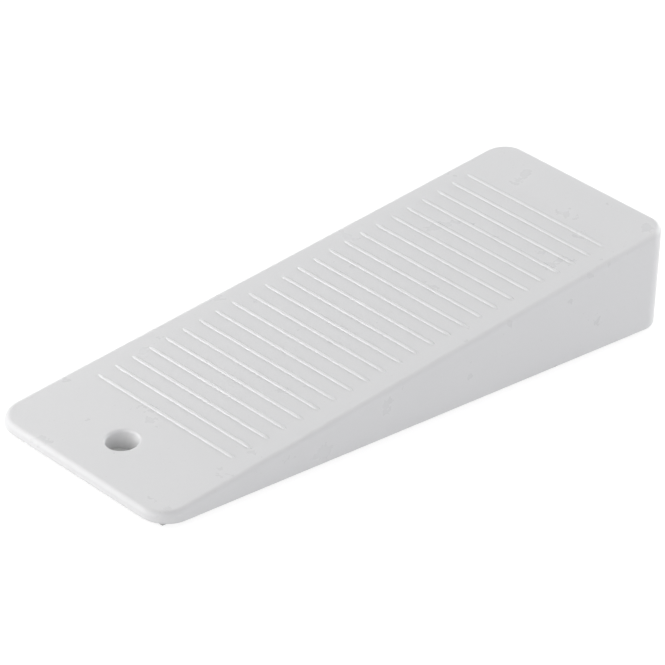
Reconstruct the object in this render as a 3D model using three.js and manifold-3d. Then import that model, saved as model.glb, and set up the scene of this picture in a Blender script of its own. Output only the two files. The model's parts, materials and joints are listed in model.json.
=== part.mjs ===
// A door wedge: one rigid moulded shell, cored out from below, with a soft sole plugged into its underside.
// Millimetres, +Z up. The floor is z = 0, +X runs from the toe (the thin end) to the heel (the thick end),
// and the origin is the middle of the footprint.
import * as THREE from "three";
import { mergeVertices } from "three/addons/utils/BufferGeometryUtils.js";
import Module from "manifold-3d";

const wasm = await Module();
wasm.setup();

// Driving dimensions.
const body = {
  length: 125,
  width: 45,
  toeHeight: 2.1, // of the sharp corner above the rim, before its edge is rounded
  heelHeight: 20.3, // the same at the heel
  cornerRadius: 5.5, // of the upright corners, seen from above
  draft: 2, // degrees that the sides lean in
  topEdge: 1.0, // radius all round the top
  rimEdge: 0.6, // radius all round the bottom
  roof: 2.0, // thickness of the top, measured upright
  wall: 2.2, // thickness of the rim beside the sole
  ledge: 0.8, // how far the walls step in above the sole
};
const hangHole = {
  diameter: 5.9,
  fromToe: 10.5,
  landBehind: 3.55, // solid left between the hole and the recess for the sole
};
const gripRibs = {
  count: 24,
  firstFromToe: 20.35,
  lastFromHeel: 14.25,
  length: 36.2,
  width: 1.0,
  height: 0.28,
};
const webs = {
  columns: 3, // cores side by side
  rows: 5, // cores from toe to heel
  thickness: 1.6,
  solidToe: 6, // from the front of the recess to the first cores
  cornerRadius: 1.5,
  draft: 1, // degrees that the cores narrow upwards
};
const sole = {
  proud: 0.4, // how far the tread stands below the rim
  thickness: 2.0,
  clearance: 0.3, // to the shell, all round and above
  edge: 0.3, // chamfer round the tread
  border: 2.5, // plain margin round the grooves
  grooveWidth: 1.3,
  grooveDepth: 0.8,
  groovePitch: 3.2,
};
const peg = {
  diameter: 3.4,
  length: 4.0, // above the plate
  bossWall: 1.8, // around its socket
  tip: 0.5, // chamfer that leads it in
};
const arcSteps = { corner: 6, edge: 10, rimEdge: 2, rib: 4, ribEnd: 3, hole: 40, peg: 20 };
const sink = 0.5; // how far a joined or cutting solid runs on past the face it meets

const whitePlastic = new THREE.MeshStandardMaterial({ color: 0xf1f1ef, roughness: 0.42, metalness: 0 });
const softGrey = new THREE.MeshStandardMaterial({ color: 0xb4b6b8, roughness: 0.8, metalness: 0 });

// Levels and places worked out from them.
const rise = (body.heelHeight - body.toeHeight) / body.length;
const toeX = -body.length / 2;
const heelX = body.length / 2;
const rimZ = sole.proud;
const ledgeZ = sole.thickness + sole.clearance; // underside of the webs, bosses and ledge
const topEdge = Math.min(body.topEdge, body.toeHeight - body.rimEdge);
const holeX = toeX + hangHole.fromToe;
const socketRadius = peg.diameter / 2 + sole.clearance;
const bossRadius = socketRadius + peg.bossWall;
const recessX = holeX + hangHole.diameter / 2 + hangHole.landBehind;
const lean = (degrees) => Math.tan(THREE.MathUtils.degToRad(degrees));
const level = (z) => ({ at: z, rise: 0 });
const belowTop = (drop) => ({ at: rimZ + body.toeHeight - rise * toeX - drop, rise });
const heightOf = (plane, x) => plane.at + plane.rise * x;

// A rounded rectangle seen from above, as points with their outward normals.
function outline(x0, x1, halfWidth, radius, steps) {
  const points = [];
  const corners = [
    [x0 + radius, radius - halfWidth, 180],
    [x1 - radius, radius - halfWidth, 270],
    [x1 - radius, halfWidth - radius, 0],
    [x0 + radius, halfWidth - radius, 90],
  ];
  for (const [cx, cy, from] of corners)
    for (let i = 0; i <= steps; i++) {
      const a = THREE.MathUtils.degToRad(from + (90 * i) / steps);
      const [nx, ny] = [Math.cos(a), Math.sin(a)];
      const next = { x: cx + radius * nx, y: cy + radius * ny, nx, ny };
      const last = points.at(-1);
      if (!last || Math.hypot(next.x - last.x, next.y - last.y) > 1e-6) points.push(next);
    }
  const [first, last] = [points[0], points.at(-1)];
  if (Math.hypot(first.x - last.x, first.y - last.y) < 1e-6) points.pop();
  return points;
}

// The outline carried to a plane, moved in by `inset` and by a lean that starts at height `from`.
function ring(points, plane, inset = 0, slant = 0, from = 0) {
  return points.map(({ x, y, nx, ny }) => {
    const d = (slant * (heightOf(plane, x) - from) + inset) / (1 + slant * plane.rise * nx);
    return new THREE.Vector3(x - nx * d, y - ny * d, heightOf(plane, x - nx * d));
  });
}

// A closed body through rings of equally many points, from the lowest to the highest.
function loft(rings) {
  const n = rings[0].length;
  const index = [];
  for (let i = 1; i < n - 1; i++) {
    const top = (rings.length - 1) * n;
    index.push(0, i + 1, i, top, top + i, top + i + 1);
  }
  for (let k = 0; k < rings.length - 1; k++)
    for (let i = 0; i < n; i++) {
      const [a, b] = [k * n + i, k * n + ((i + 1) % n)];
      index.push(a, b, b + n, a, b + n, a + n);
    }
  const made = new THREE.BufferGeometry().setFromPoints(rings.flat());
  return made.setIndex(index);
}

// A three.js geometry as a solid that can be joined and cut.
function solid(geometry) {
  geometry.deleteAttribute("normal");
  geometry.deleteAttribute("uv");
  const merged = mergeVertices(geometry, 1e-4);
  return new wasm.Manifold(
    new wasm.Mesh({
      numProp: 3,
      vertProperties: new Float32Array(merged.attributes.position.array),
      triVerts: new Uint32Array(merged.index.array),
    }),
  );
}

function joined(solids) {
  return solids.reduce((all, next) => all.add(next));
}

// An upright cylinder, or a cone's slice where the two radii differ.
function post(x, y, z0, z1, radius, steps, topRadius = radius) {
  const made = new THREE.CylinderGeometry(topRadius, radius, z1 - z0, steps);
  return solid(made.rotateX(Math.PI / 2).translate(x, y, (z0 + z1) / 2));
}

function mesh(name, made, material) {
  const { vertProperties, triVerts } = made.getMesh();
  const geometry = new THREE.BufferGeometry();
  geometry.setAttribute("position", new THREE.BufferAttribute(vertProperties, 3));
  geometry.setIndex(new THREE.BufferAttribute(triVerts, 1));
  geometry.computeVertexNormals();
  const piece = new THREE.Mesh(geometry, material);
  piece.name = name;
  return piece;
}

// The outside of the shell, with both of its edges rounded.
function outside() {
  const plan = outline(toeX, heelX, body.width / 2, body.cornerRadius, arcSteps.corner);
  const widest = rimZ + body.rimEdge;
  const rings = [];
  for (let i = 0; i <= arcSteps.rimEdge; i++) {
    const a = (Math.PI / 2) * (i / arcSteps.rimEdge);
    rings.push(ring(plan, level(rimZ + body.rimEdge * (1 - Math.cos(a))), body.rimEdge * (1 - Math.sin(a))));
  }
  for (let i = 0; i <= arcSteps.edge; i++) {
    const a = (Math.PI / 2) * (i / arcSteps.edge);
    const plane = belowTop(topEdge * (1 - Math.sin(a)));
    rings.push(ring(plan, plane, topEdge * (1 - Math.cos(a)), lean(body.draft), widest));
  }
  return solid(loft(rings));
}

// One grip rib: a low round-backed bar with round ends, set square to the sloped top.
function gripRib(x) {
  const half = gripRibs.width / 2;
  const plan = outline(-half, half, gripRibs.length / 2, half, arcSteps.ribEnd);
  const arcRadius = (half * half + gripRibs.height ** 2) / (2 * gripRibs.height);
  const rings = [ring(plan, level(-sink))];
  for (let i = 0; i < arcSteps.rib; i++) {
    const a = Math.asin(Math.min(1, half / arcRadius)) * (1 - i / arcSteps.rib);
    const z = arcRadius * Math.cos(a) - arcRadius + gripRibs.height;
    rings.push(ring(plan, level(z), half - arcRadius * Math.sin(a)));
  }
  const made = loft(rings).rotateY(-Math.atan(rise));
  return solid(made.translate(x, 0, heightOf(belowTop(0), x)));
}

function gripRibField() {
  const first = toeX + gripRibs.firstFromToe;
  const pitch = (heelX - gripRibs.lastFromHeel - first) / (gripRibs.count - 1);
  return joined(Array.from({ length: gripRibs.count }, (_, i) => gripRib(first + i * pitch)));
}

// The recess that holds the sole, or the sole's own outline where it is moved in by the clearance.
function recessPlan(gap) {
  const radius = Math.max(body.cornerRadius - body.wall, 1);
  const plan = outline(recessX, heelX - body.wall, body.width / 2 - body.wall, radius, arcSteps.corner);
  return (plane, inset = 0) => ring(plan, plane, inset + gap);
}

// The grid of cores: where the webs leave room, and where two webs cross.
function coreGrid() {
  const halfWidth = body.width / 2 - body.wall - body.ledge;
  const x0 = recessX + webs.solidToe;
  const x1 = heelX - body.wall - body.ledge;
  const pitchX = (x1 - x0 + webs.thickness) / webs.rows;
  const pitchY = (2 * halfWidth + webs.thickness) / webs.columns;
  const cells = [];
  const crossings = [];
  for (let i = 0; i < webs.rows; i++)
    for (let j = 0; j < webs.columns; j++) {
      const x = x0 + i * pitchX;
      const y = j * pitchY - halfWidth;
      cells.push({ x, y, dx: pitchX - webs.thickness, dy: pitchY - webs.thickness });
      if (i > 0 && j > 0) crossings.push({ x: x - webs.thickness / 2, y: y - webs.thickness / 2 });
    }
  return { cells, crossings };
}

function core({ x, y, dx, dy }) {
  const plan = outline(x, x + dx, dy / 2, webs.cornerRadius, 2);
  const slant = lean(webs.draft);
  const rings = [
    ring(plan, level(ledgeZ - sink), 0, slant, ledgeZ),
    ring(plan, belowTop(body.roof), 0, slant, ledgeZ),
  ];
  return solid(loft(rings).translate(0, y + dy / 2, 0));
}

// How far a peg at x reaches: its own length, or less where the roof over its boss is lower.
function pegTop(x) {
  const roofOverBoss = heightOf(belowTop(body.roof), x - bossRadius);
  return Math.min(sole.thickness + peg.length, roofOverBoss - sole.clearance);
}

function shell() {
  const { cells, crossings } = coreGrid();
  const recess = recessPlan(0);
  const roofTop = rimZ + body.heelHeight;
  const bosses = crossings.map(({ x, y }) =>
    post(x, y, ledgeZ - 2 * sink, roofTop, bossRadius, arcSteps.peg),
  );
  const sockets = crossings.map(({ x, y }) =>
    post(x, y, ledgeZ - sink, pegTop(x) + sole.clearance, socketRadius, arcSteps.peg),
  );
  const hole = post(holeX, 0, -1, roofTop, hangHole.diameter / 2, arcSteps.hole);
  return outside()
    .add(gripRibField())
    .subtract(solid(loft([recess(level(-1)), recess(level(ledgeZ))])))
    .subtract(joined(cells.map(core)).subtract(joined(bosses)))
    .subtract(joined(sockets))
    .subtract(hole);
}

// Crosswise grooves either side of the middle of the sole, where a bar is left.
function grooves() {
  const front = recessX + sole.clearance;
  const back = heelX - body.wall - sole.clearance;
  const halfWidth = body.width / 2 - body.wall - sole.clearance;
  const perSide = Math.floor(((back - front) / 2 - sole.border) / sole.groovePitch);
  const made = [];
  for (const side of [-1, 1])
    for (let i = 0; i < perSide; i++) {
      const groove = new THREE.BoxGeometry(
        sole.grooveWidth,
        2 * (halfWidth - sole.border),
        2 * sole.grooveDepth,
      );
      groove.translate((front + back) / 2 + side * (i + 0.5) * sole.groovePitch, 0, 0);
      made.push(solid(groove));
    }
  return joined(made);
}

function pegs() {
  const radius = peg.diameter / 2;
  return joined(
    coreGrid().crossings.flatMap(({ x, y }) => {
      const shoulder = pegTop(x) - peg.tip;
      return [
        post(x, y, sole.thickness - sink, shoulder, radius, arcSteps.peg),
        post(x, y, shoulder, pegTop(x), radius, arcSteps.peg, radius - peg.tip),
      ];
    }),
  );
}

function soleBody() {
  const plan = recessPlan(sole.clearance);
  const plate = loft([plan(level(0), sole.edge), plan(level(sole.edge)), plan(level(sole.thickness))]);
  return solid(plate).subtract(grooves()).add(pegs());
}

const wedge = new THREE.Group();
wedge.add(mesh("wedge_shell", shell(), whitePlastic));
wedge.add(mesh("non_slip_sole", soleBody(), softGrey));

export default wedge;
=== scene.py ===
import json
import math

import bmesh
import bpy
from mathutils import Matrix, Vector


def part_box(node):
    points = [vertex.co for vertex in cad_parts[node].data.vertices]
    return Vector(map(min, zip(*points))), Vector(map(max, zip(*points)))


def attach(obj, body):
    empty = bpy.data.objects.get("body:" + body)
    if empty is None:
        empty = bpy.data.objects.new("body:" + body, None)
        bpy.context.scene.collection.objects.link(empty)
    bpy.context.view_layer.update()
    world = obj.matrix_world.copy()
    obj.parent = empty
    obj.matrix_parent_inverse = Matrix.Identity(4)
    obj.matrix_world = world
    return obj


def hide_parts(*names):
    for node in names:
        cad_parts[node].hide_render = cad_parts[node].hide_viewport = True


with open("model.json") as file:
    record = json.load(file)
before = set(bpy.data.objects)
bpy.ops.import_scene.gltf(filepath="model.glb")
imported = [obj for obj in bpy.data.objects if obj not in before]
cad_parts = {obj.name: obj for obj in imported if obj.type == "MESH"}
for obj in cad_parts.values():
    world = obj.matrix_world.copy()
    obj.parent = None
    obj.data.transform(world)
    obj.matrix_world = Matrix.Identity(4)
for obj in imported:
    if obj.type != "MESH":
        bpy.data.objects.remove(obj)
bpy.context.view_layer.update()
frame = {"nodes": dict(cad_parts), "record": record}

mm = 0.001
print("frame loaded:", ", ".join(sorted(frame["nodes"])))


# a level plane, or one that climbs along X, as its height at x = 0 and its rise per metre
def level(z):
    return (z, 0.0)


def heightOn(plane, x):
    return plane[0] + plane[1] * x


# a rounded rectangle seen from above: points with their outward normals
def outline(x0, x1, y0, y1, radius, steps):
    corners = (
        (x0 + radius, y0 + radius, 180),
        (x1 - radius, y0 + radius, 270),
        (x1 - radius, y1 - radius, 0),
        (x0 + radius, y1 - radius, 90),
    )
    points = []
    for cx, cy, start in corners:
        for i in range(steps + 1):
            a = math.radians(start + 90 * i / steps)
            point = (cx + radius * math.cos(a), cy + radius * math.sin(a), math.cos(a), math.sin(a))
            if not points or math.dist(point[:2], points[-1][:2]) > 1e-9:
                points.append(point)
    if math.dist(points[0][:2], points[-1][:2]) < 1e-9:
        points.pop()
    return points


# the same for a circle, with its steps counted over a quarter
def circle(x, y, radius, steps):
    return outline(x - radius, x + radius, y - radius, y + radius, radius, steps)


# the outline carried to a plane, moved in by inset and by a lean that starts at height fromZ
def ring(bm, points, plane, inset=0.0, slant=0.0, fromZ=0.0):
    made = []
    for x, y, nx, ny in points:
        d = (slant * (heightOn(plane, x) - fromZ) + inset) / (1 + slant * plane[1] * nx)
        made.append(bm.verts.new((x - nx * d, y - ny * d, heightOn(plane, x - nx * d))))
    return made


def bridge(bm, rings):
    for low, high in zip(rings, rings[1:]):
        for i in range(len(low)):
            j = (i + 1) % len(low)
            bm.faces.new((low[i], low[j], high[j], high[i]))


# a flat stretch between closed rings: one outside, the rest holes in it
def fillFlat(bm, *rings):
    edges = []
    for points in rings:
        for i, v in enumerate(points):
            w = points[(i + 1) % len(points)]
            edges.append(bm.edges.get((v, w)) or bm.edges.new((v, w)))
    bmesh.ops.triangle_fill(bm, use_beauty=True, edges=edges, normal=(0, 0, 1))


# steps of a quarter round, as shares of its radius: how far in, and how far from its flat
def quarter(steps):
    angles = [math.pi / 2 * i / steps for i in range(steps + 1)]
    return [(1 - math.cos(a), 1 - math.sin(a)) for a in angles]


def makePiece(name, bm, material, node, sharpAngle=38):
    bmesh.ops.recalc_face_normals(bm, faces=bm.faces)
    openEdges = sum(not e.is_manifold for e in bm.edges)
    for edge in bm.edges:
        edge.smooth = edge.is_manifold and edge.calc_face_angle() < math.radians(sharpAngle)
    for face in bm.faces:
        face.smooth = True
    mesh = bpy.data.meshes.new(name)
    bm.to_mesh(mesh)
    bm.free()
    mesh.materials.append(material)
    piece = bpy.data.objects.new(name, mesh)
    bpy.context.scene.collection.objects.link(piece)
    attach(piece, "root")
    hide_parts(node)
    print(f"{name}: {len(mesh.polygons)} faces, {openEdges} open edges")
    return piece


cameraFacts = {
    "aim": Vector((-2.74, -0.07, 9.24)) * mm,
    "azimuth": -45.606,  # degrees round from looking along +Y
    "elevation": 28.731,
    "roll": -4.828,
    "distance": 755.5 * mm,
    "lens": 228.6,
    "sensor": 36,
}


def makeCamera(facts):
    a, e, r = (math.radians(facts[k]) for k in ("azimuth", "elevation", "roll"))
    back = Vector((math.sin(a) * math.cos(e), -math.cos(a) * math.cos(e), math.sin(e)))
    right = Vector((0, 0, 1)).cross(back).normalized()
    up = back.cross(right)
    data = bpy.data.cameras.new("camera")
    data.lens = facts["lens"]
    data.sensor_width = facts["sensor"]
    data.clip_start = 0.01
    camera = bpy.data.objects.new("camera", data)
    turned = (right * math.cos(r) - up * math.sin(r), up * math.cos(r) + right * math.sin(r), back)
    camera.matrix_world = Matrix.Translation(facts["aim"] + back * facts["distance"]) @ (
        Matrix(turned).transposed().to_4x4()
    )
    bpy.context.scene.collection.objects.link(camera)
    bpy.context.scene.camera = camera


makeCamera(cameraFacts)
print("camera placed")


def newNode(tree, kind, inputs=None, **settings):
    node = tree.nodes.new(kind)
    for key, value in settings.items():
        setattr(node, key, value)
    for key, value in (inputs or {}).items():
        node.inputs[key].default_value = value
    return node


def newGroup(name, inputs, outputs):
    tree = bpy.data.node_groups.new(name, "ShaderNodeTree")
    for label, kind, value in inputs:
        socket = tree.interface.new_socket(label, in_out="INPUT", socket_type=kind)
        socket.default_value = value
    for label, kind in outputs:
        tree.interface.new_socket(label, in_out="OUTPUT", socket_type=kind)
    return tree, tree.nodes.new("NodeGroupInput"), tree.nodes.new("NodeGroupOutput")


def useGroup(tree, group, **values):
    node = newNode(tree, "ShaderNodeGroup", node_tree=group)
    for key, value in values.items():
        node.inputs[key].default_value = value
    return node


# fine pitted texture of a spark-eroded mould, as a height and as a mask of its hollows, which carries
# painted shade
def mouldGrainGroup():
    tree, given, out = newGroup(
        "mouldGrain",
        [("Scale", "NodeSocketFloat", 3000.0)],
        [("Height", "NodeSocketFloat"), ("Hollows", "NodeSocketFloat")],
    )
    link = tree.links.new
    place = newNode(tree, "ShaderNodeTexCoord")
    coarse = newNode(tree, "ShaderNodeMath", {1: 0.31}, operation="MULTIPLY")  # pits wider than the grain
    fine = newNode(tree, "ShaderNodeTexNoise", {"Detail": 3.0, "Roughness": 0.55})
    pits = newNode(tree, "ShaderNodeTexVoronoi", {"Randomness": 1.0}, feature="SMOOTH_F1")
    total = newNode(tree, "ShaderNodeMath", operation="ADD")
    hollows = newNode(tree, "ShaderNodeMapRange", {"From Min": 0.35, "From Max": 0.75})
    link(place.outputs["Object"], fine.inputs["Vector"])
    link(place.outputs["Object"], pits.inputs["Vector"])
    link(given.outputs["Scale"], fine.inputs["Scale"])
    link(given.outputs["Scale"], coarse.inputs[0])
    link(coarse.outputs[0], pits.inputs["Scale"])
    link(fine.outputs["Fac"], total.inputs[0])
    link(pits.outputs["Distance"], total.inputs[1])
    link(total.outputs[0], out.inputs["Height"])
    link(fine.outputs["Fac"], hollows.inputs["Value"])
    link(hollows.outputs["Result"], out.inputs["Hollows"])
    return tree


# slow drift of tone and gloss across a moulding, and the odd speck in it
def mouldDriftGroup():
    tree, given, out = newGroup(
        "mouldDrift",
        [("Scale", "NodeSocketFloat", 30.0), ("Specks", "NodeSocketFloat", 900.0)],
        [("Tone", "NodeSocketFloat"), ("Gloss", "NodeSocketFloat"), ("Speck", "NodeSocketFloat")],
    )
    link = tree.links.new
    place = newNode(tree, "ShaderNodeTexCoord")
    slow = newNode(tree, "ShaderNodeTexNoise", {"Detail": 2.0, "Roughness": 0.4, "Distortion": 0.6})
    patchy = newNode(tree, "ShaderNodeTexNoise", {"Detail": 5.0, "Roughness": 0.62})
    faster = newNode(tree, "ShaderNodeMath", {1: 4.3}, operation="MULTIPLY")  # gloss drifts faster than tone
    dots = newNode(tree, "ShaderNodeTexVoronoi", {"Randomness": 1.0})
    near = newNode(tree, "ShaderNodeMapRange", {"From Min": 0.10, "From Max": 0.02})
    for node in (slow, patchy, dots):
        link(place.outputs["Object"], node.inputs["Vector"])
    link(given.outputs["Scale"], slow.inputs["Scale"])
    link(given.outputs["Scale"], faster.inputs[0])
    link(faster.outputs[0], patchy.inputs["Scale"])
    link(given.outputs["Specks"], dots.inputs["Scale"])
    link(dots.outputs["Distance"], near.inputs["Value"])
    link(slow.outputs["Fac"], out.inputs["Tone"])
    link(patchy.outputs["Fac"], out.inputs["Gloss"])
    link(near.outputs["Result"], out.inputs["Speck"])
    return tree


grainGroup = mouldGrainGroup()
driftGroup = mouldDriftGroup()


def newMaterial(name):
    material = bpy.data.materials.new(name)
    material.use_nodes = True
    tree = material.node_tree
    tree.nodes.clear()
    out = tree.nodes.new("ShaderNodeOutputMaterial")
    return material, tree, out


# colour, roughness and bump of one moulded finish, from the two shared groups, with painted shade mixed into
# the grain's hollows
# a colour mix takes its colours at inputs 6 and 7 and gives the result at output 2
def mouldedMaterial(name, finish):
    material, tree, out = newMaterial(name)
    link = tree.links.new
    shader = newNode(tree, "ShaderNodeBsdfPrincipled", {"IOR": finish["ior"]})
    drift = useGroup(tree, driftGroup, Scale=finish["driftScale"], Specks=finish["speckScale"])
    grain = useGroup(tree, grainGroup, Scale=finish["grainScale"])
    tone = newNode(tree, "ShaderNodeMix", data_type="RGBA")
    tone.inputs[6].default_value = (*finish["darker"], 1)
    tone.inputs[7].default_value = (*finish["lighter"], 1)
    specked = newNode(tree, "ShaderNodeMix", data_type="RGBA")
    specked.inputs[7].default_value = (*finish["speck"], 1)
    speckShare = newNode(tree, "ShaderNodeMath", {1: finish["speckShare"]}, operation="MULTIPLY")
    # painted shade: the colour darkened towards a darker grey where the mask of the grain's hollows is
    paintedShadeMix = newNode(tree, "ShaderNodeMix", data_type="RGBA")
    paintedShadeMix.inputs[7].default_value = (*finish["paintedShadeColour"], 1)
    paintedShadeShare = newNode(tree, "ShaderNodeMath", {1: finish["paintedShadeShare"]}, operation="MULTIPLY")
    gloss = newNode(
        tree,
        "ShaderNodeMapRange",
        {"From Min": 0.3, "From Max": 0.7, "To Min": finish["gloss"][0], "To Max": finish["gloss"][1]},
    )
    bump = newNode(tree, "ShaderNodeBump", {"Strength": 1.0, "Distance": finish["grainDepth"]})
    link(drift.outputs["Tone"], tone.inputs[0])
    link(tone.outputs[2], specked.inputs[6])
    link(drift.outputs["Speck"], speckShare.inputs[0])
    link(speckShare.outputs[0], specked.inputs[0])
    link(specked.outputs[2], paintedShadeMix.inputs[6])
    link(grain.outputs["Hollows"], paintedShadeShare.inputs[0])
    link(paintedShadeShare.outputs[0], paintedShadeMix.inputs[0])
    link(paintedShadeMix.outputs[2], shader.inputs["Base Color"])
    link(drift.outputs["Gloss"], gloss.inputs["Value"])
    link(gloss.outputs["Result"], shader.inputs["Roughness"])
    link(grain.outputs["Height"], bump.inputs["Height"])
    link(bump.outputs["Normal"], shader.inputs["Normal"])
    link(shader.outputs["BSDF"], out.inputs["Surface"])
    return material


whiteFinish = {
    "darker": (0.795, 0.797, 0.797),
    "lighter": (0.815, 0.815, 0.812),
    "speck": (0.62, 0.61, 0.58),
    "speckShare": 0.25,
    # the darker grey that paints shade into the grain's hollows, and how much of it
    "paintedShadeColour": (0.77, 0.77, 0.775),
    "paintedShadeShare": 0.5,
    "gloss": (0.26, 0.36),
    "ior": 1.49,
    "driftScale": 34.0,
    "speckScale": 420.0,
    "grainScale": 4200.0,
    "grainDepth": 0.0012 * mm,
}
softFinish = {
    "darker": (0.42, 0.43, 0.44),
    "lighter": (0.50, 0.51, 0.52),
    "speck": (0.66, 0.65, 0.62),
    "speckShare": 0.5,
    # the darker grey that paints shade into the grain's hollows, and how much of it
    "paintedShadeColour": (0.36, 0.37, 0.38),
    "paintedShadeShare": 0.6,
    "gloss": (0.62, 0.82),
    "ior": 1.51,
    "driftScale": 60.0,
    "speckScale": 700.0,
    "grainScale": 2600.0,
    "grainDepth": 0.02 * mm,
}
whitePlastic = mouldedMaterial("whitePlastic", whiteFinish)
softRubber = mouldedMaterial("softRubber", softFinish)
print("materials made")


shellLow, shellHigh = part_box("wedge_shell")
soleLow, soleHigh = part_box("non_slip_sole")
mounts = {m["name"]: m for m in frame["record"]["mounts"]}
doorFace = mounts["door_face"]
rise = -doorFace["axis"][0] / doorFace["axis"][2]
topZ = doorFace["pos_m"][2] - rise * doorFace["pos_m"][0]


# the sloped top, or a plane below it by the drop
def belowTop(drop):
    return (topZ - drop, rise)


shell = {
    "cornerRadius": 5.5 * mm,
    "draft": math.tan(math.radians(2)),
    "topEdge": 1.0 * mm,
    "rimEdge": 0.6 * mm,
    "mouthEdge": 0.25 * mm,  # of the recess for the sole
    "mouthSteps": 3,
    "recessCornerSteps": 10,
    "roof": 2.0 * mm,
    "cornerSteps": 16,
    "edgeSteps": 10,
    "flat": 0.08 * mm,  # narrow flat strip beside each rounded edge, so that flats shade flat
}
grip = {
    "count": 24,
    "firstFromToe": 20.35 * mm,
    "lastFromHeel": 14.25 * mm,
    "length": 36.2 * mm,
    "height": 0.28 * mm,
    "back": 0.45 * mm,  # radius over the rib
    "foot": 0.10 * mm,  # radius where it meets the top
    "fade": 1.6 * mm,  # length over which each end runs out
    "crown": 0.06,  # share of the turn left flat along the rib's top
    "steps": 6,
}
hole = {
    "fromToe": 10.5 * mm,
    "radius": 2.95 * mm,
    "edge": 0.5 * mm,
    "edgeSteps": 5,
    "steps": 24,
}
core = {
    "columns": 3,
    "rows": 5,
    "web": 1.6 * mm,
    "ledge": 0.8 * mm,
    "solidToe": 6.0 * mm,
    "corner": 1.5 * mm,
    "draft": math.tan(math.radians(1)),
    "bossRadius": 3.8 * mm,
    "socketRadius": 2.0 * mm,
    "steps": 6,
}
sole = {
    "gap": 0.3 * mm,
    "plate": 2.0 * mm,
    "edge": 0.3 * mm,
    "edgeSteps": 5,
    "border": 2.5 * mm,
    "grooveWidth": 1.3 * mm,
    "grooveDepth": 0.8 * mm,
    "groovePitch": 3.2 * mm,
    "grooveSteps": 4,
    "lip": 0.15 * mm,
    "roundSteps": 5,  # over a quarter of a peg or of a groove's end
    "pegRadius": 1.7 * mm,
    "pegTip": 0.5 * mm,
}
ledgeZ = soleLow[2] + sole["plate"] + sole["gap"]
wall = shellHigh[1] - soleHigh[1] - sole["gap"]


# the rounded outside, from the ring inside the rim up to the ring inside the top's edge
def addOutside(bm):
    s = shell
    corner, steps = s["cornerRadius"], s["cornerSteps"]
    plan = outline(shellLow[0], shellHigh[0], shellLow[1], shellHigh[1], corner, steps)
    rimZ = shellLow[2]
    widest = rimZ + s["rimEdge"]
    rings = [ring(bm, plan, level(rimZ), s["rimEdge"] + s["flat"])]
    for inset, drop in reversed(quarter(s["edgeSteps"])):
        rings.append(ring(bm, plan, level(rimZ + drop * s["rimEdge"]), inset * s["rimEdge"]))
    rings.append(ring(bm, plan, level(widest + s["flat"]), 0, s["draft"], widest))
    rings.append(ring(bm, plan, belowTop(s["topEdge"] + s["flat"]), 0, s["draft"], widest))
    for inset, drop in quarter(s["edgeSteps"]):
        plane = belowTop(drop * s["topEdge"])
        rings.append(ring(bm, plan, plane, inset * s["topEdge"], s["draft"], widest))
    rings.append(ring(bm, plan, belowTop(0), s["topEdge"] + s["flat"], s["draft"], widest))
    bridge(bm, rings)
    return rings[0], rings[-1]


# one grip rib, square to the slope: it leaves the top on a small radius and turns over on a larger one
def addRib(bm, x):
    g = grip
    turn = math.acos(1 - g["height"] / (g["foot"] + g["back"]))
    half = (g["foot"] + g["back"]) * math.sin(turn)
    straight = g["length"] / 2 - g["fade"]
    profile = [(half + shell["flat"], 0.0)]
    for i in range(g["steps"] + 1):
        a = turn * i / g["steps"]
        profile.append((half - g["foot"] * math.sin(a), g["foot"] * (1 - math.cos(a))))
    for i in range(1, g["steps"] + 1):
        a = turn * (1 - (1 - g["crown"]) * i / g["steps"])
        profile.append((g["back"] * math.sin(a), g["height"] - g["back"] * (1 - math.cos(a))))
    slope = Matrix.Rotation(-math.atan(rise), 4, "Y")
    place = Matrix.Translation((x, 0, heightOn(belowTop(0), x))) @ slope
    rings = []
    for width, height in profile:
        points = []
        for i in range(4 * g["steps"] + 2):
            a = math.pi * (i - (i > 2 * g["steps"])) / (2 * g["steps"])
            end = straight if i <= 2 * g["steps"] else -straight
            point = (width * math.cos(a), end + g["fade"] * width / half * math.sin(a), height)
            points.append(bm.verts.new(place @ Vector(point)))
        rings.append(points)
    bridge(bm, rings)
    fillFlat(bm, rings[-1])
    return rings[0]


# the hang hole through the toe, with both of its edges eased
def addHole(bm):
    h = hole
    plan = circle(shellLow[0] + h["fromToe"], 0, h["radius"], h["steps"])
    e, flat, rimZ = h["edge"], shell["flat"], shellLow[2]
    rings = [ring(bm, plan, belowTop(0), -e - flat)]
    for inset, drop in reversed(quarter(h["edgeSteps"])):
        rings.append(ring(bm, plan, belowTop(e * drop), -e * inset))
    rings.append(ring(bm, plan, belowTop(e + flat), 0))
    rings.append(ring(bm, plan, level(rimZ + e + flat), 0))
    for inset, drop in quarter(h["edgeSteps"]):
        rings.append(ring(bm, plan, level(rimZ + e * drop), -e * inset))
    rings.append(ring(bm, plan, level(rimZ), -e - flat))
    bridge(bm, rings)
    return rings[0], rings[-1]


# whether two webs cross, and so a boss stands, at a core's corner
def hasBoss(x, y, crossings):
    return any(math.dist((x, y), crossing) < core["web"] for crossing in crossings)


# a core's outline: plain round corners, but scooped round a boss wherever two webs cross
def corePlan(x0, x1, y0, y1, crossings):
    reach = core["web"] / 2
    turn = math.asin(reach / core["bossRadius"])
    corners = ((x0, y0, 1, 1, 180), (x1, y0, -1, 1, 270), (x1, y1, -1, -1, 0), (x0, y1, 1, -1, 90))
    points = []
    for x, y, inX, inY, start in corners:
        if hasBoss(x, y, crossings):
            cx, cy = x - inX * reach, y - inY * reach
            first = math.radians(start + 180) + math.pi / 2 - turn
            for i in range(core["steps"] + 1):
                a = first - (math.pi / 2 - 2 * turn) * i / core["steps"]
                ux, uy = math.cos(a), math.sin(a)
                points.append((cx + core["bossRadius"] * ux, cy + core["bossRadius"] * uy, -ux, -uy))
        else:
            cx, cy = x + inX * core["corner"], y + inY * core["corner"]
            for i in range(core["steps"] + 1):
                a = math.radians(start + 90 * i / core["steps"])
                ux, uy = math.cos(a), math.sin(a)
                points.append((cx + core["corner"] * ux, cy + core["corner"] * uy, ux, uy))
    return points


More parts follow.
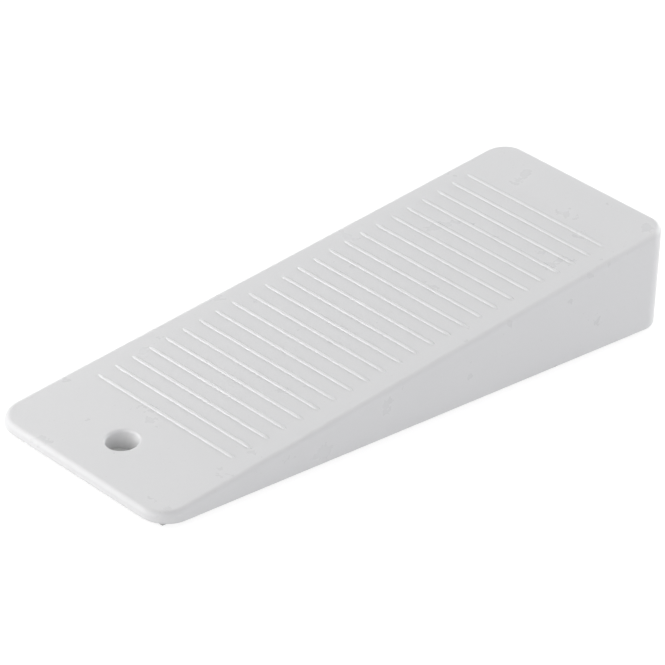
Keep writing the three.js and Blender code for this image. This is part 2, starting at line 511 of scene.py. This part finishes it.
# where the cores start and end, and where their webs cross
def coreGrid():
    c = core
    x0 = soleLow[0] - sole["gap"] + c["solidToe"]
    x1 = shellHigh[0] - wall - c["ledge"]
    halfWidth = shellHigh[1] - wall - c["ledge"]
    pitchX = (x1 - x0 + c["web"]) / c["rows"]
    pitchY = (2 * halfWidth + c["web"]) / c["columns"]
    cells, crossings = [], []
    for i in range(c["rows"]):
        for j in range(c["columns"]):
            x, y = x0 + i * pitchX, -halfWidth + j * pitchY
            cells.append((x, x + pitchX - c["web"], y, y + pitchY - c["web"]))
            if i and j:
                crossings.append((x - c["web"] / 2, y - c["web"] / 2))
    return cells, crossings


# how high a peg reaches: its full length, or less where the roof over its boss is lower
def pegTop(x):
    roofOverBoss = heightOn(belowTop(shell["roof"]), x - core["bossRadius"])
    return min(soleHigh[2], roofOverBoss - sole["gap"])


# the recess for the sole, or with a gap the outline of what sits in it
def recessPlan(gap=0.0):
    radius = shell["cornerRadius"] - wall
    x0, x1 = soleLow[0] - sole["gap"] + gap, shellHigh[0] - wall - gap
    halfWidth = shellHigh[1] - wall - gap
    return outline(x0, x1, -halfWidth, halfWidth, radius - gap, shell["recessCornerSteps"])


# the recess for the sole, with the cores and sockets that open into its ceiling
def addUnderside(bm):
    cells, crossings = coreGrid()
    mouth = recessPlan()
    e, flat, rimZ = shell["mouthEdge"], shell["flat"], shellLow[2]
    rings = [ring(bm, mouth, level(rimZ), -e - flat)]
    for inset, drop in reversed(quarter(shell["mouthSteps"])):
        rings.append(ring(bm, mouth, level(rimZ + e * drop), -e * inset))
    rings.append(ring(bm, mouth, level(ledgeZ)))
    bridge(bm, rings)
    openings = []
    for cell in cells:
        plan = corePlan(*cell, crossings)
        walls = [ring(bm, plan, level(ledgeZ))]
        walls.append(ring(bm, plan, belowTop(shell["roof"]), 0, core["draft"], ledgeZ))
        bridge(bm, walls)
        fillFlat(bm, walls[-1])
        openings.append(walls[0])
    for x, y in crossings:
        plan = circle(x, y, core["socketRadius"], core["steps"])
        walls = [ring(bm, plan, level(z)) for z in (ledgeZ, pegTop(x) + sole["gap"])]
        bridge(bm, walls)
        fillFlat(bm, walls[-1])
        openings.append(walls[0])
    fillFlat(bm, rings[-1], *openings)
    return rings[0]


def makeShell():
    bm = bmesh.new()
    rimRing, topRing = addOutside(bm)
    first = shellLow[0] + grip["firstFromToe"]
    pitch = (shellHigh[0] - grip["lastFromHeel"] - first) / (grip["count"] - 1)
    ribFeet = [addRib(bm, first + i * pitch) for i in range(grip["count"])]
    holeTop, holeBottom = addHole(bm)
    fillFlat(bm, topRing, holeTop, *ribFeet)
    fillFlat(bm, rimRing, holeBottom, addUnderside(bm))
    return makePiece("shellMoulding", bm, whitePlastic, "wedge_shell")


makeShell()


# a crosswise groove with round ends, an eased lip and a rounded bottom
def addGroove(bm, x, halfLength):
    s, flat = sole, shell["flat"]
    half = s["grooveWidth"] / 2
    plan = outline(x - half, x + half, -halfLength, halfLength, half, s["roundSteps"])
    lip, depth = s["lip"], s["grooveDepth"]
    rings = [ring(bm, plan, level(soleLow[2]), -lip - flat / 2)]
    for inset, drop in reversed(quarter(s["grooveSteps"])):
        rings.append(ring(bm, plan, level(soleLow[2] + lip * drop), -lip * inset))
    for inset, drop in quarter(s["grooveSteps"]):
        rings.append(ring(bm, plan, level(soleLow[2] + depth - 2 * lip * drop), 2 * lip * inset))
    bridge(bm, rings)
    fillFlat(bm, rings[-1])
    return rings[0]


# a peg that rises from the plate to a chamfered tip
def addPeg(bm, x, y):
    s = sole
    plan = circle(x, y, s["pegRadius"], s["roundSteps"])
    plateZ = soleLow[2] + s["plate"]
    rings = [ring(bm, plan, level(plateZ)), ring(bm, plan, level(pegTop(x) - s["pegTip"]))]
    rings.append(ring(bm, plan, level(pegTop(x)), s["pegTip"]))
    bridge(bm, rings)
    fillFlat(bm, rings[-1])
    return rings[0]


def makeSole():
    s, bm = sole, bmesh.new()
    plan = recessPlan(s["gap"])
    rings = [ring(bm, plan, level(soleLow[2]), s["edge"] + shell["flat"])]
    for inset, drop in reversed(quarter(s["edgeSteps"])):
        rings.append(ring(bm, plan, level(soleLow[2] + s["edge"] * drop), s["edge"] * inset))
    rings.append(ring(bm, plan, level(soleLow[2] + s["plate"])))
    bridge(bm, rings)
    middle = (soleLow[0] + soleHigh[0]) / 2
    perSide = int(((soleHigh[0] - soleLow[0]) / 2 - s["border"]) / s["groovePitch"])
    places = [middle + (i + 0.5) * s["groovePitch"] for i in range(-perSide, perSide)]
    lips = [addGroove(bm, x, soleHigh[1] - s["border"]) for x in places]
    fillFlat(bm, rings[0], *lips)
    feet = [addPeg(bm, x, y) for x, y in coreGrid()[1]]
    fillFlat(bm, rings[-1], *feet)
    return makePiece("treadSole", bm, softRubber, "non_slip_sole")


makeSole()
print("sole made")


studio = {
    "floorZ": -0.05 * mm,
    "floorSize": 6.0,
    "floorColour": (0.80, 0.80, 0.80),
    "floorGlow": 0.84,  # plain white added to what the camera and reflections see of the floor
    "paintedShadowGlow": 0.25,  # painted shadow: what is left of the white under the part, where no light comes but through the hole
    # how far in from the part's outline the painted shadow starts
    "paintedShadowInset": 2 * mm,
    "floorShare": 0.28,  # of the lit floor, which carries the shadow
    "tent": (1.04, 1.04, 1.08),  # bright walls all round, open above
    "tentTop": (0.45, 0.75),  # sines of the heights between which the walls give way to the dark
}
# degrees round from +X and up from the floor, metres and watts
lamps = {
    "key": {"azimuth": 135, "height": 24, "distance": 0.45, "power": 0.88, "colour": (1.0, 1.0, 1.0)},
    "toeSide": {"azimuth": 180, "height": 24, "distance": 0.45, "power": 0.20, "colour": (1.0, 0.97, 0.90)},
    "heelSide": {"azimuth": 0, "height": 24, "distance": 0.9, "power": 3.2, "colour": (0.98, 1.0, 1.0)},
    "overHeel": {"azimuth": 0, "height": 58, "distance": 0.9, "power": 1.8, "colour": (1.0, 1.0, 0.98)},
    "overFar": {"azimuth": 90, "height": 58, "distance": 0.9, "power": 0.4, "colour": (1.0, 1.0, 0.98)},
}
lampSpread = 0.78  # a lamp's width as a share of its distance


# white to the camera and in reflections, with part of the lit floor kept so that the shadow shows, and a
# painted shadow where the white is turned down under the part
def floorMaterial():
    material, tree, out = newMaterial("paleFloor")
    link = tree.links.new
    share = studio["floorShare"]
    lit = newNode(tree, "ShaderNodeBsdfDiffuse", {"Color": (*studio["floorColour"], 1)})
    shown = newNode(tree, "ShaderNodeBsdfDiffuse", {"Color": (share, share, share, 1)})
    white = newNode(tree, "ShaderNodeEmission")
    place = newNode(tree, "ShaderNodeTexCoord")
    split = newNode(tree, "ShaderNodeSeparateXYZ")
    # painted shadow: a mask of the box under the part, drawn in from its outline, where the white is turned
    # down
    paintedShadowMask = newNode(tree, "ShaderNodeMath", operation="MULTIPLY")
    for axis, name in enumerate("XY"):
        size = newNode(tree, "ShaderNodeMath", operation="ABSOLUTE")
        limit = shellHigh[axis] - studio["paintedShadowInset"]
        inside = newNode(tree, "ShaderNodeMath", {1: limit}, operation="LESS_THAN")
        link(split.outputs[name], size.inputs[0])
        link(size.outputs[0], inside.inputs[0])
        link(inside.outputs[0], paintedShadowMask.inputs[axis])
    glow = newNode(
        tree, "ShaderNodeMapRange", {"To Min": studio["floorGlow"], "To Max": studio["paintedShadowGlow"]}
    )
    both = newNode(tree, "ShaderNodeAddShader")
    path = newNode(tree, "ShaderNodeLightPath")
    seen = newNode(tree, "ShaderNodeMath", operation="MAXIMUM")
    seenAny = newNode(tree, "ShaderNodeMath", operation="MAXIMUM")
    pick = newNode(tree, "ShaderNodeMixShader")
    link(place.outputs["Object"], split.inputs[0])
    link(paintedShadowMask.outputs[0], glow.inputs["Value"])
    link(glow.outputs["Result"], white.inputs["Strength"])
    link(white.outputs[0], both.inputs[0])
    link(shown.outputs[0], both.inputs[1])
    link(path.outputs["Is Camera Ray"], seen.inputs[0])
    link(path.outputs["Is Glossy Ray"], seen.inputs[1])
    link(seen.outputs[0], seenAny.inputs[0])
    link(path.outputs["Is Transmission Ray"], seenAny.inputs[1])
    link(seenAny.outputs[0], pick.inputs[0])
    link(lit.outputs[0], pick.inputs[1])
    link(both.outputs[0], pick.inputs[2])
    link(pick.outputs[0], out.inputs["Surface"])
    return material


def makeFloor():
    half = studio["floorSize"] / 2
    bm = bmesh.new()
    bmesh.ops.create_grid(bm, x_segments=2, y_segments=2, size=half)
    mesh = bpy.data.meshes.new("floor")
    bm.to_mesh(mesh)
    bm.free()
    mesh.materials.append(floorMaterial())
    floor = bpy.data.objects.new("floor", mesh)
    floor.location.z = studio["floorZ"]
    bpy.context.scene.collection.objects.link(floor)


# bright walls that fade out overhead, and plain white to the camera
def makeWorld():
    world = bpy.data.worlds.new("studio")
    world.use_nodes = True
    tree = world.node_tree
    tree.nodes.clear()
    link = tree.links.new
    out = tree.nodes.new("ShaderNodeOutputWorld")
    path = tree.nodes.new("ShaderNodeLightPath")
    direction = tree.nodes.new("ShaderNodeTexCoord")
    split = tree.nodes.new("ShaderNodeSeparateXYZ")
    low, high = studio["tentTop"]
    fade = newNode(
        tree,
        "ShaderNodeMapRange",
        {"From Min": low, "From Max": high, "To Min": 1.0, "To Max": 0.0},
        interpolation_type="SMOOTHSTEP",
    )
    light = newNode(tree, "ShaderNodeBackground", {"Color": (*studio["tent"], 1)})
    white = newNode(tree, "ShaderNodeBackground", {"Color": (1, 1, 1, 1)})
    pick = newNode(tree, "ShaderNodeMixShader")
    link(direction.outputs["Generated"], split.inputs[0])
    link(split.outputs["Z"], fade.inputs["Value"])
    link(fade.outputs["Result"], light.inputs["Strength"])
    link(path.outputs["Is Camera Ray"], pick.inputs[0])
    link(light.outputs[0], pick.inputs[1])
    link(white.outputs[0], pick.inputs[2])
    link(pick.outputs[0], out.inputs["Surface"])
    bpy.context.scene.world = world


# a square lamp that looks at the part's origin
def makeLamp(name, facts):
    data = bpy.data.lights.new(name, "AREA")
    data.shape = "SQUARE"
    data.size = lampSpread * facts["distance"]
    data.energy = facts["power"]
    data.color = facts["colour"]
    lamp = bpy.data.objects.new(name, data)
    a, e = math.radians(facts["azimuth"]), math.radians(facts["height"])
    direction = Vector((math.cos(a) * math.cos(e), math.sin(a) * math.cos(e), math.sin(e)))
    lamp.location = direction * facts["distance"]
    lamp.rotation_mode = "QUATERNION"
    lamp.rotation_quaternion = direction.to_track_quat("Z", "Y")
    bpy.context.scene.collection.objects.link(lamp)


makeFloor()
makeWorld()
for lampName, lampFacts in lamps.items():
    makeLamp(lampName, lampFacts)
bpy.context.scene.view_settings.view_transform = "Standard"
print("studio made")
